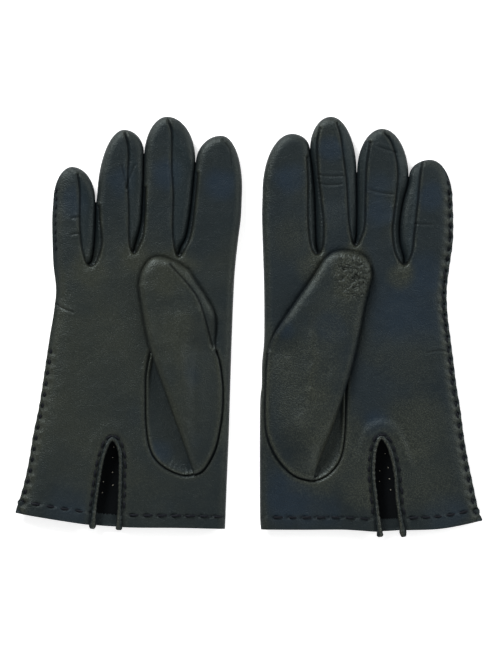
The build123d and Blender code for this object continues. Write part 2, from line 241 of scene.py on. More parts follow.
def ease(x):
    """0 below 0, 1 above 1, and a soft step between."""
    x = np.clip(x, 0, 1)
    return x * x * (3 - 2 * x)


def hump(away, width):
    return np.exp(-((away / width) ** 2))


def dome(away, radius):
    """0 at an edge, rising as a quarter round to 1."""
    return np.sqrt(np.maximum(0, 1 - (1 - np.clip(away / radius, 0, 1)) ** 2))


def cloud(points, size, seed, octaves=3):
    """Even-handed lumps of about that size, -1 to 1."""
    return np.array([noise.fractal(Vector((x / size, y / size, seed)), 0.9, 2.1, octaves) for x, y in points])


def tip_arc(shoulder, tip, other, step):
    """A fingertip: a quarter of an ellipse up to the tip and another down."""
    t = np.linspace(0, math.pi / 2, 40)
    up = np.column_stack([tip[0] + (shoulder[0] - tip[0]) * np.cos(t),
                          shoulder[1] + (tip[1] - shoulder[1]) * np.sin(t)])
    down = np.column_stack([tip[0] + (other[0] - tip[0]) * np.sin(t),
                            other[1] + (tip[1] - other[1]) * np.cos(t)])
    return even(up, step), even(down, step)


for hand, g in gloves.items():
    joint = next(j for j in frame["joints"] if j["name"] == f"{hand}_index_flex")
    axis = np.array(joint["axis"][:2])
    g["across"], g["along"] = axis * g["mirror"], np.array([-axis[1], axis[0]])
    hinge = INDEX_MIDDLE * g["across"] + HINGES["index"] * g["along"]
    g["start"] = np.array(joint["pos_m"][:2]) - MM * hinge
    g["hinges"] = [HINGES[name] for name in fingers]
    gaps = [soft(gap, 0.8) for gap in g["gaps"]]
    g["gap_lines"] = gaps[::-1]
    hem = soft(g["hem"], 1.0)
    side = soft(g["little_side"], 1.0)
    up, down = tip_arc(*g["tips"][0], 0.8)
    raw_edge = np.vstack([hem[-1:], side, up[1:-6]])
    fold = [up[-7:-1], down[:-1]]
    for gap, tip in zip(gaps, g["tips"][1:]):
        width = GAP / 2 * ease(np.arange(len(gap)) / 3.0 + 0.15)
        fold += [beside(gap, width)[::-1], beside(gap, -width)]
        up, down = tip_arc(*tip, 0.8)
        fold += [even(np.vstack([fold[-1][-1:], up[:1]]), 0.8)[1:-1], up[:-1], down[:-1]]
    fold.append(soft(g["index_side"], 1.0))
    g["fold"] = np.vstack(fold)
    g["hem_line"] = hem
    g["outline"] = np.vstack([hem[:-1], raw_edge[:-1], g["fold"][:-1]])
    left = np.concatenate([[0], np.cumsum(np.hypot(*np.diff(raw_edge, axis=0).T))])
    g["seam_in"] = beside(raw_edge, -FLANGE * ease((left[-1] - left) / 22))
    below = np.array([[0, -40.0]])
    g["puffed"] = np.vstack([g["seam_in"][:1] + below, g["seam_in"], g["fold"], g["fold"][-1:] + below])
    g["seam_lines"] = [soft(seam, 0.8) for seam in g["seams"]][::-1]
    g["vent_line"] = soft(g["vent"], 0.9)
    g["hole"] = np.vstack([soft(g["gusset_seam"], 0.9)[:-1], soft(g["thumb_seam"], 0.9),
                           soft([g["thumb_seam"][-1], (30, 109), g["gusset_seam"][0]], 1.0)[1:-1]])
    g["row_line"] = beside(hem, -ROW)
    high, tip, low = (soft(g[name], 1.0) for name in ("thumb_high", "thumb_tip", "thumb_low"))
    g["thumb_edge"] = np.vstack([high[45:], tip, low])


def triangles(loops, lines, spots):
    """Flat triangles over plan points, with the loops and lines kept as edges."""
    points, edges = [], []
    for line in loops + lines:
        count, at = len(line), len(points)
        points += [Vector(p) for p in line]
        edges += [(at + n, at + n + 1) for n in range(count - 1)]
        if any(line is loop for loop in loops):
            edges.append((at + count - 1, at))
    points += [Vector(p) for p in spots]
    made, _, faces, *_ = geometry.delaunay_2d_cdt(points, edges, [], 0, 1e-5)
    flat = np.array([tuple(p) for p in made])
    faces = np.array([tuple(f) for f in faces])
    middle = flat[faces].mean(1)
    a, b, c = flat[faces[:, 0]], flat[faces[:, 1]], flat[faces[:, 2]]
    area = (b[:, 0] - a[:, 0]) * (c[:, 1] - a[:, 1]) - (b[:, 1] - a[:, 1]) * (c[:, 0] - a[:, 0])
    faces[area < 0] = faces[area < 0][:, ::-1]
    keep = inside(middle, loops[0]) & (abs(area) > 1e-7)
    return flat, faces[keep], middle[keep]


def edge_rows(outline, shifts):
    """Rows of points at some distances inside a closed outline."""
    closed = np.vstack([outline, outline[:1]])
    rows = [(beside(outline, -shift), shift) for shift in shifts]
    return [row[reach(row, closed)[0] > shift * 0.94] for row, shift in rows]


def thinned(spots):
    """The same spots without those that crowd another."""
    kept = np.unique(np.round(spots / CROWDED).astype(int), axis=0, return_index=True)[1]
    return spots[np.sort(kept)]


def dots(low, high, step):
    """A field of points, each the same step from its six neighbours."""
    rows = np.arange(low[1], high[1], step * 0.866)
    field = []
    for n, v in enumerate(rows):
        across = np.arange(low[0] + (n % 2) * step / 2, high[0], step)
        field.append(np.column_stack([across, np.full(len(across), v)]))
    return np.vstack(field)


def patches(at, spots):
    """Soft round patches with ragged edges."""
    total = np.zeros(len(at))
    ragged = cloud(at, 15, 4.4, 3) * 0.22
    for u, v, size, share in spots:
        total += share * ease(1.35 - np.hypot(at[:, 0] - u, at[:, 1] - v) / size / 1.15 + ragged)
    return total


def palm_height(g, at):
    """The heights of the palm side and the back at plan points, how worn each point is, and how much painted
    shade each point gets.
    """
    within = inside(at, g["puffed"])
    puff = np.where(within, reach(at, g["puffed"])[0], 0)
    round_edge = np.minimum(dome(puff, 5.6), dome(reach(at, g["seam_in"])[0] + 0.4, 12.0) * within)
    seam_edge = ease(reach(at, g["fold"])[0] / 3.0)
    low = 0.76 + 0.24 * ease(at[:, 1] / 34)
    # painted shade: a darker colour in seams, slits, creases, stitch dents and along the thumb's edge,
    # standing in for the shade there
    dark = np.zeros(len(at))
    soft_lumps = cloud(at, 26, g["mirror"] * 7.3) * 0.34 + cloud(at, 8, g["mirror"] * 3.1) * 0.11
    top = np.hypot(HIGH["palm"] * low * round_edge, seam_edge) + soft_lumps * round_edge
    back = np.hypot(HIGH["back"] * low * round_edge, seam_edge) + cloud(at, 30, 19.0) * 0.12 * round_edge
    rubbed = 0.35 * hump(puff - 2.2, 1.8) * within
    for n, (seam, gap) in enumerate(zip(g["seam_lines"], g["gap_lines"])):
        away, along = reach(at, seam)
        pucker = 0.93 + 0.07 * np.sin(along * 2.4 + n)
        sunk = inside(at, seam)
        open_end = ease(reach(at, seam[[-1, 0]])[0] / 6.0)
        top += pucker * (-1.05 * hump(away, 0.62) + 0.42 * hump(away - 1.5, 0.8) * ~sunk)
        top += np.where(sunk, 0.35 * hump(away - 1.5, 0.7) - 1.0 * ease(away / 1.8), 0) * open_end
        # painted shade along the seam and down the slit between two fingers
        dark += 0.9 * hump(away, 0.6) + 0.75 * hump(reach(at, gap)[0], 1.1)
        rubbed += 0.5 * hump(away - 1.2, 0.8) * ~sunk * (0.6 + 0.4 * np.sin(along * 0.35 + 2 * n))
        crotch = np.hypot(at[:, 0] - gap[0, 0], at[:, 1] - gap[0, 1] + 4.5)
        rubbed += 0.75 * hump(crotch, 4.2)
        top += 0.28 * hump(crotch, 3.6)
        behind, along = reach(at, gap)
        back -= 0.6 * hump(behind - STRIP, 0.55) * (0.75 + 0.25 * np.sin(along * 2.4))
    for crease in g["creases"]:
        away = reach(at, soft(crease, 0.8))[0]
        top += -0.35 * hump(away, 0.7) + 0.12 * hump(away - 1.4, 0.8)
        # painted shade in the crease
        dark += 0.45 * hump(away, 0.5)
    away, along = reach(at, g["hole"])
    hole = inside(at, g["hole"])
    around = np.maximum(0.2, np.sin(along * 2.0) * 0.3 + 0.7)
    top += -0.75 * hump(away, 0.65) + 0.22 * around * hump(away - 1.6, 0.8)
    rubbed += 0.4 * hump(away - 1.6, 1.0)
    # painted shade in the seam round the thumb's hole
    dark += 0.85 * hump(away, 0.6)
    # a shallow groove on the palm along the thumb's edge, with painted shade along it
    away = reach(at, g["thumb_edge"])[0]
    top -= 0.4 * hump(away, 1.1) * ~hole
    dark += 0.42 * hump(away - 0.5, 0.8) * ~hole
    away, along = reach(at, g["seam_in"])
    pull = 0.5 + 0.5 * np.cos(2 * math.pi * along / SIDE_PITCH)
    sewn_side = ease((g["side_stitches"][1] + 50 * (g["mirror"] > 0) - at[:, 1]) / 6)
    dents, swells = pull * hump(away - 0.3, 1.5) * seam_edge, (1 - pull) * hump(away - 1.4, 1.3)
    top += (-0.95 * dents + 0.3 * swells) * sewn_side
    back -= 0.7 * dents * sewn_side
    rubbed += 0.75 * (1 - pull) * hump(away - 1.0, 1.3) * sewn_side
    hem = reach(at, g["hem_line"])[0]
    turned = 1 - ease((hem - TURN) / 0.9)
    away, along = reach(at, g["row_line"])
    pull = 0.5 + 0.5 * np.cos(2 * math.pi * along / HEM_PITCH)
    top += 0.25 * turned - (0.12 + 0.6 * pull) * hump(away, 0.9) - 0.25 * hump(hem, 0.8)
    top += 0.3 * (1 - pull) * hump(away, 1.6)
    # painted shade in the dent under each hem stitch
    dark += 0.85 * pull**2 * hump(away, 0.9)
    back += 0.2 * turned - 0.25 * hump(hem, 0.8)
    away = reach(at, g["vent_line"])[0]
    top += -0.5 * hump(away - 2.4, 0.9)
    # painted shade beside the vent's binding
    dark += 0.7 * hump(away - 1.9, 1.0)
    top += g["vent_ridge"] * (hump(away - 7.5, 2.2) - 0.6 * hump(away - 12, 2.5)) * ease((at[:, 1] - 34) / 12)
    rubbed += 0.25 * hump(away - 3.8, 1.6)
    for gap, lean in zip(g["gap_lines"], (4, 0, -4)):  # the three raised lines of the back
        line = soft([gap[0] - (0, 22), gap[0] - (-lean * 0.5, 52), gap[0] - (-lean, 82)], 2.0)
        away = reach(at, line)[0]
        back += 0.75 * hump(away, 0.75) - 0.2 * hump(away - 2.0, 0.7)
    rubbed += 0.2 * ease(cloud(at, 30, g["mirror"] * 1.7) * 1.2) + patches(at, g["handled"])
    return MIDDLE + top, MIDDLE - back, np.clip(rubbed, 0, 1), np.clip(dark, 0, 1)


for hand, g in gloves.items():
    starts = [hinge + BEND[0] for hinge in g["hinges"]]
    outline = g["outline"]
    spots = edge_rows(outline, (0.1, 0.4, 0.9, 1.6, 2.5, 3.6, 4.8))
    lines = g["seam_lines"] + [g["vent_line"]]
    for line in g["seam_lines"] + [g["hole"], g["vent_line"], g["seam_in"], g["row_line"], g["thumb_edge"]]:
        for shift in (-1.5, -0.8, -0.4, 0.4, 0.8, 1.5):
            spots.append(beside(line, shift)[2:-2])
    for crease in g["creases"]:
        spots += [beside(soft(crease, 0.8), shift) for shift in (-0.8, -0.4, 0, 0.4, 0.8)]
    closed = np.vstack([outline, outline[:1]])
    near = np.vstack(spots)
    near = near[inside(near, outline)]
    near = near[reach(near, closed)[0] > 0.09]
    field = dots((-6, -3), (130, 150), 1.1)
    field = np.vstack([field, dots((-6, 150.2), (130, 243), 0.85)])
    field = field[inside(field, outline)]
    field = field[reach(field, closed)[0] > 5.3]
    for line in lines + [g["hole"], g["seam_in"], g["row_line"]]:
        field = field[reach(field, line)[0] > 1.9]
    spots = np.vstack([near, field])
    for line in lines + [g["hole"]]:
        spots = spots[reach(spots, line)[0] > 0.3]
    spots = thinned(spots)
    rows = []
    for n, start in enumerate(starts):
        walls = [-8.0] + [np.interp(start, gap[:, 1], gap[:, 0]) for gap in g["gap_lines"]] + [132.0]
        rows.append(even(np.array([(walls[n] + 0.01, start), (walls[n + 1] - 0.01, start)]), 0.9))
    for gap, a, b in zip(g["gap_lines"], starts, starts[1:]):
        low = min(a, b)
        if low < gap[0, 1]:
            rows.append(even(np.array([(gap[0, 0], gap[0, 1]), (gap[0, 0], low - 6.0)]), 0.9))
    for line in rows:
        spots = spots[reach(spots, line)[0] > 0.3]
    flat, faces, middle = triangles([outline, g["hole"]], lines + rows, spots)
    top, back, rubbed, g["dark"] = palm_height(g, flat)
    g["blue"] = np.clip(patches(flat, g["bruised"]), 0, 1)
    shared = reach(flat, g["fold"])[0] < 1e-4
    top[shared] = back[shared] = MIDDLE
    g.update(flat=flat, faces=faces, middle=middle, top=top, back=back, rubbed=rubbed, shared=shared)


# ------------------------------------------------------------------ glove leather and the hand parts
# The hand part, or trank, is one skin folded round the hand: palm and back in one, closed by a stitched seam
# on the little-finger side, with a turned hem. Dark navy lambskin, rubbed olive-brown where it was handled.
class Value:
    """One value in a material, so that sums can be written as they are read."""

    def __init__(self, paint, socket):
        self.paint, self.socket = paint, socket

    def maths(self, kind, *others, clamp=False):
        made = self.paint.node("ShaderNodeMath", {"operation": kind, "use_clamp": clamp}, {})
        for socket, value in zip(made.inputs, others):
            self.paint.feed(socket, value)
        return Value(self.paint, made.outputs[0])

    def __add__(self, other):
        return self.maths("ADD", self, other)

    __radd__ = __add__

    def __sub__(self, other):
        return self.maths("SUBTRACT", self, other)

    def __rsub__(self, other):
        return self.maths("SUBTRACT", other, self)

    def __mul__(self, other):
        return self.maths("MULTIPLY", self, other)

    __rmul__ = __mul__

    def clamped(self):
        return self.maths("ADD", self, 0.0, clamp=True)

    def step(self, low, high):
        """0 below low, 1 above high."""
        made = self.paint.node("ShaderNodeMapRange", {"interpolation_type": "SMOOTHSTEP"},
                               {"Value": self, "From Min": low, "From Max": high})
        return Value(self.paint, made.outputs[0])


class Paint:
    """One material, made on its principled shader."""

    def __init__(self, name, constants):
        self.material = bpy.data.materials.new(name)
        self.material.use_nodes = True
        self.tree = self.material.node_tree
        self.shader = next(n for n in self.tree.nodes if n.type == "BSDF_PRINCIPLED")
        for socket, value in constants.items():
            self.shader.inputs[socket].default_value = value
        place = self.node("ShaderNodeTexCoord", {}, {})
        self.place = Value(self, place.outputs["Object"])

    def feed(self, socket, value):
        if isinstance(value, Value):
            self.tree.links.new(value.socket, socket)
        else:
            socket.default_value = value

    def node(self, kind, settings, inputs):
        made = self.tree.nodes.new(kind)
        for name, value in settings.items():
            setattr(made, name, value)
        for name, value in inputs.items():
            self.feed(next(s for s in made.inputs if name in (s.identifier, s.name)), value)
        return made

    def noise(self, scale, detail=3.0, rough=0.5, warp=0.0):
        made = self.node("ShaderNodeTexNoise", {}, {"Vector": self.place, "Scale": scale, "Detail": detail,
                                                    "Roughness": rough, "Distortion": warp})
        return Value(self, made.outputs["Fac"])

    def cells(self, scale):
        made = self.node("ShaderNodeTexVoronoi", {}, {"Vector": self.place, "Scale": scale})
        return Value(self, made.outputs["Distance"])

    def mark(self, name):
        """A number kept on the mesh's own points."""
        made = self.node("ShaderNodeAttribute", {"attribute_name": name}, {})
        return Value(self, made.outputs["Fac"])

    def mix(self, share, a, b):
        made = self.node("ShaderNodeMix", {"data_type": "RGBA"},
                         {"Factor_Float": share, "A_Color": a, "B_Color": b})
        return Value(self, next(s for s in made.outputs if s.identifier == "Result_Color"))

    def bump(self, height, depth, strength):
        made = self.node("ShaderNodeBump", {}, {"Height": height, "Distance": depth, "Strength": strength})
        self.feed(self.shader.inputs["Normal"], Value(self, made.outputs["Normal"]))

    def paint_shade(self, share):
        """Painted shade: the skin is mixed towards a dull black by the share given, standing in for the shade
        in deep creases and seams.
        """
        dull = self.node("ShaderNodeBsdfPrincipled", {}, {"Base Color": (0.0010, 0.0015, 0.0022, 1),
                                                          "Roughness": 0.9, "Specular IOR Level": 0.03})
        both = self.node("ShaderNodeMixShader", {}, {"Fac": share})
        self.tree.links.new(self.shader.outputs[0], both.inputs[1])
        self.tree.links.new(dull.outputs[0], both.inputs[2])
        end = next(n for n in self.tree.nodes if n.type == "OUTPUT_MATERIAL")
        self.tree.links.new(both.outputs[0], end.inputs["Surface"])

    def show(self, colour, rough):
        self.feed(self.shader.inputs["Base Color"], colour)
        self.feed(self.shader.inputs["Roughness"], rough)
        return self.material


def skin(name, navy, blue, olive, worn, shine):
    """Dressed lambskin: clouded dye, rubbed high spots, painted highlights on the vent bindings, painted
    shade, fine grain, pores and small wrinkles.
    """
    paint = Paint(name, {"Specular IOR Level": 0.30, "Specular Tint": (0.86, 1.0, 0.99, 1)})
    clouds = paint.noise(17.0, 3.0, 0.5)
    blots = paint.noise(60.0, 4.0, 0.55, 0.3)
    specks = paint.noise(1350.0, 2.0, 0.55)
    # wear where the skin is rubbed, and on the vent bindings a painted highlight along the crest
    rub = (paint.mark("rubbed") * 0.95 + clouds * 0.45 + blots * 0.3 - 0.40).clamped()
    cold = (paint.mark("blue") * 0.85 + clouds * 0.7 - 0.42 - rub * 0.45).clamped()
    base = paint.mix(cold, navy, blue)
    base = paint.mix((rub * 0.9).clamped(), base, olive)
    grainy = paint.mark("grain")
    base = paint.mix((specks.step(0.47, 0.66) * (rub * 0.52 + 0.07) * grainy).clamped(), base, worn)
    dips = ((1.0 - specks.step(0.34, 0.52)) * 0.4 * grainy).clamped()
    base = paint.mix(dips, base, (0.0025, 0.0038, 0.0046, 1))
    # painted shade: the skin mixed towards a dull black where the mesh's shade mark is high
    paint.paint_shade(paint.mark("dark").clamped() * 0.8)
    pores = paint.cells(1150.0).step(0.0, 0.55)
    grain = paint.noise(1500.0, 2.0, 0.6)
    folds = paint.noise(240.0, 3.0, 0.55, 0.8)
    paint.bump(specks * 0.8 + pores * 0.35 + grain * 0.25 + folds * 0.8 + blots * 0.9, 0.0005, 0.55)
    return paint.show(base, shine - 0.14 * rub + 0.08 * specks + 0.10 * (1.0 - blots))


leather = skin("glove_leather", (0.0038, 0.0072, 0.0094, 1), (0.0036, 0.0115, 0.0245, 1),
               (0.0225, 0.0250, 0.0180, 1), (0.050, 0.055, 0.042, 1), 0.42)
flesh = Paint("leather_inside", {"Specular IOR Level": 0.08})
fibres = flesh.noise(1400.0, 4.0, 0.7)
flesh.bump(fibres + flesh.noise(380.0, 3.0, 0.6) * 0.7, 0.0003, 0.7)
flesh_tone = flesh.mix(fibres, (0.0012, 0.0018, 0.0024, 1), (0.0040, 0.0050, 0.0058, 1))
inside_face = flesh.show(flesh_tone, 0.85 + 0.1 * fibres)


def in_place(g, points):
    """Plan points in mm, with their heights, as places in the world frame."""
    flat = g["start"] + MM * (points[:, :1] * g["across"] + points[:, 1:2] * g["along"])
    return np.column_stack([flat, points[:, 2] * MM])


def turned(g, ways):
    flat = ways[:, :1] * g["across"] + ways[:, 1:2] * g["along"]
    return np.column_stack([flat, ways[:, 2]])


def normals_of(points, faces):
    a, b, c = points[faces[:, 0]], points[faces[:, 1]], points[faces[:, 2]]
    way = np.cross(b - a, c - a)
    total = np.zeros_like(points)
    for k in range(3):
        np.add.at(total, faces[:, k], way)
    return total / np.maximum(np.linalg.norm(total, axis=1), 1e-12)[:, None]


def new_piece(name, points, faces, materials):
    """A smooth mesh object."""
    mesh = bpy.data.meshes.new(name)
    mesh.from_pydata(points, [], faces)
    for material in materials:
        mesh.materials.append(material)
    mesh.polygons.foreach_set("use_smooth", np.ones(len(mesh.polygons), bool))
    piece = bpy.data.objects.new(name, mesh)
    bpy.context.scene.collection.objects.link(piece)
    return piece


def keep_marks(mesh, **marks):
    """Numbers kept on the mesh's points, for its material to read."""
    for name, values in marks.items():
        mark = mesh.attributes.new(name, "FLOAT", "POINT")
        mark.data.foreach_set("value", np.asarray(values, np.float32))


def leather_piece(name, g, outer, ways, faces, thick, rubbed, materials):
    """A piece of leather: its outer face, an inner face that much deeper, and a cut edge between them."""
    used, faces = np.unique(faces, return_inverse=True)
    faces = faces.reshape(-1, 3)
    outer, ways, thick, rubbed = outer[used], ways[used], thick[used], rubbed[used]
    inner = outer - ways * thick[:, None]
    count = len(outer)
    sides = np.vstack([faces[:, [0, 1]], faces[:, [1, 2]], faces[:, [2, 0]]])
    known = set(map(tuple, sides))
    rim = np.array([(b, a, a + count, b + count) for a, b in known if (b, a) not in known]).reshape(-1, 4)
    triples = np.vstack([faces, faces[:, ::-1] + count])
    if g["mirror"] < 0:
        triples, rim = triples[:, ::-1], rim[:, ::-1]
    points = in_place(g, np.vstack([outer, inner]))
    out = turned(g, ways)
    corner_ways = np.vstack([out, -out])[triples.ravel()]
    if len(rim):
        a, b, c = points[rim[:, 0]], points[rim[:, 1]], points[rim[:, 2]]
        edge = np.cross(b - a, c - a)
        edge /= np.maximum(np.linalg.norm(edge, axis=1), 1e-15)[:, None]
        lift = np.concatenate([out, out])[rim.ravel()] * np.where(rim.ravel() < count, 0.5, -0.2)[:, None]
        edge = np.repeat(edge, 4, axis=0) + lift
        corner_ways = np.vstack([corner_ways, edge / np.linalg.norm(edge, axis=1)[:, None]])
    piece = new_piece(name, points.tolist(), triples.tolist() + rim.tolist(), materials)
    mesh = piece.data
    index = np.zeros(len(mesh.polygons), np.int32)
    # where the hem is turned up double, the skin's outer face shows on the inside
    index[len(faces) : 2 * len(faces)] = thick[faces].mean(1) < DOUBLED
    mesh.polygons.foreach_set("material_index", index)
    plain = np.zeros(count)
    blue, dark = (g[name][used % len(g[name])] for name in ("blue", "dark"))
    keep_marks(mesh, rubbed=np.append(rubbed, plain), blue=np.append(blue, plain),
               dark=np.append(dark, plain), grain=np.full(2 * count, g["grain"]))
    mesh.normals_split_custom_set(corner_ways.tolist())
    return piece


for hand, g in gloves.items():
    flat, faces, middle, shared = g["flat"], g["faces"], g["middle"], g["shared"]
    count = len(flat)
    lower = np.where(shared, np.arange(count), np.arange(count) + count)
    pressed = flat.copy()
    for gap in g["gap_lines"]:
        toward = np.sign(np.interp(flat[:, 1], gap[:, 1], gap[:, 0]) - flat[:, 0])
        pressed[:, 0] += PRESS * toward * (1 - ease(reach(flat, gap)[0] / 0.9))
    g["points"] = np.vstack([np.column_stack([pressed, g["top"]]), np.column_stack([pressed, g["back"]])])
    g["upper_faces"], g["lower_faces"] = faces, lower[faces[:, ::-1]]
    g["ways"] = normals_of(g["points"], np.vstack([g["upper_faces"], g["lower_faces"]]))
    finger = sum((middle[:, 0] > np.interp(middle[:, 1], gap[:, 1], gap[:, 0])).astype(int)
                 for gap in g["gap_lines"])
    past = middle[:, 1] > np.array(g["hinges"])[finger] + BEND[0]
    g["finger"], g["past"] = finger, past
    wall = np.zeros(len(middle), int)
    low_wall = np.zeros(len(middle), int)
    for n, (seam, gap) in enumerate(zip(g["seam_lines"], g["gap_lines"])):
        between = inside(middle, seam)
        near = (reach(middle, gap)[0] < STRIP) & past
        wall = np.where(between & (finger == n), 2, np.where(between & (finger == n + 1), 1, wall))
        low_wall = np.where(near & (finger == n), 2, np.where(near & (finger == n + 1), 1, low_wall))
    g["wall"], g["low_wall"] = wall, low_wall
    in_vent = inside(middle, g["vent_line"])
    in_hole = inside(middle, g["hole"])
    hand_top = ~past & (wall == 0) & ~in_vent & ~in_hole
    hand_back = ~past & (low_wall == 0)
    g["in_hole"] = in_hole
    deep = LEATHER + 1.0 * (1 - ease((flat[:, 1] - np.interp(flat[:, 0], *g["hem_line"].T) - TURN) / 0.6))
    g["deep"] = np.concatenate([deep, deep])
    g["rub"] = np.concatenate([g["rubbed"], g["rubbed"] * 0.6])
    trank = leather_piece(f"{hand}_hand", g, g["points"], g["ways"],
                          np.vstack([g["upper_faces"][hand_top], g["lower_faces"][hand_back]]),
                          g["deep"], g["rub"], [leather, inside_face])
    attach(trank, f"{hand}_glove")
    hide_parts(f"{hand}_trank")

# ------------------------------------------------------------------ fingers
# Each finger is the same skin as the palm on its front and back, with a narrow strip, the fourchette, sewn in
# down each side that faces another finger. The index finger's outer side is a plain fold.
strip = skin("fourchette_leather", (0.0042, 0.0088, 0.0115, 1), (0.0050, 0.0130, 0.0230, 1),
             (0.0100, 0.0125, 0.0105, 1), (0.030, 0.034, 0.032, 1), 0.40)
for hand, g in gloves.items():
    for n, name in enumerate(fingers):
        own = g["finger"] == n
        front = g["upper_faces"][own & g["past"] & (g["wall"] == 0)]
        back = g["lower_faces"][own & g["past"] & (g["low_wall"] == 0)]
        walls = [np.vstack([g["upper_faces"][own & (g["wall"] == k)],
                            g["lower_faces"][own & (g["low_wall"] == k)]]) for k in (1, 2)]
        parts = [("front", front, leather, "glove_leather"), ("back", back, leather, "glove_leather"),
                 ("fourchette_index_side", walls[0], strip, "fourchette_leather"),
                 ("fourchette_little_side", walls[1], strip, "fourchette_leather")]
        if name == "index":
            parts = [("wrap", np.vstack([front, back]), leather, "glove_leather"),
                     ("fourchette", walls[1], strip, "fourchette_leather")]
        if name == "little":
            parts = parts[:2] + [("fourchette", walls[0], strip, "fourchette_leather")]
        hinge = g["hinges"][n]
        ends = in_place(g, np.array([(60.0, hinge + end, HINGE_LEVEL) for end in BEND]))
        for part, chosen, material, slot in parts:
            piece = leather_piece(f"{hand}_{name}_{part}_leather", g, g["points"], g["ways"], chosen,
                                  np.full(len(g["rub"]), LEATHER), g["rub"], [material, inside_face])
            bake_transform(piece)
            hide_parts(f"{hand}_{name}_{part}")

# ------------------------------------------------------------------ thumb gussets
# A soft strip sewn into the hole of the palm under the thumb, gathered at its bottom, with a rounded edge
# along the seam.
GUSSET = 0.9  # the gusset's thickness
for hand, g in gloves.items():
    flat = g["flat"]
    chosen = g["upper_faces"][g["in_hole"]]
    away, along = reach(flat, g["hole"])
    low_end = hump(flat[:, 1] - 31, 17)
    top = g["top"] - 0.95 + 1.25 * hump(away - 1.15, 0.8) - 0.7 * ease(away / 8)
    top += low_end * 0.5 * np.sin(along * 2.9 + 0.8 * np.sin(along * 0.7)) * hump(away - 3.4, 3.4)
    top = np.where(away < 1e-4, g["top"] - 0.75, top)
    points = np.column_stack([flat, top])
    rubbed = g["rubbed"] * 0.5 + 0.9 * hump(away - 1.2, 0.6)
    piece = leather_piece(f"{hand}_gusset", g, points, normals_of(points, chosen), chosen,
                          np.full(len(flat), GUSSET), np.clip(rubbed, 0, 1), [leather, inside_face])
    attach(piece, f"{hand}_glove")
    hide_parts(f"{hand}_thumb_gusset")

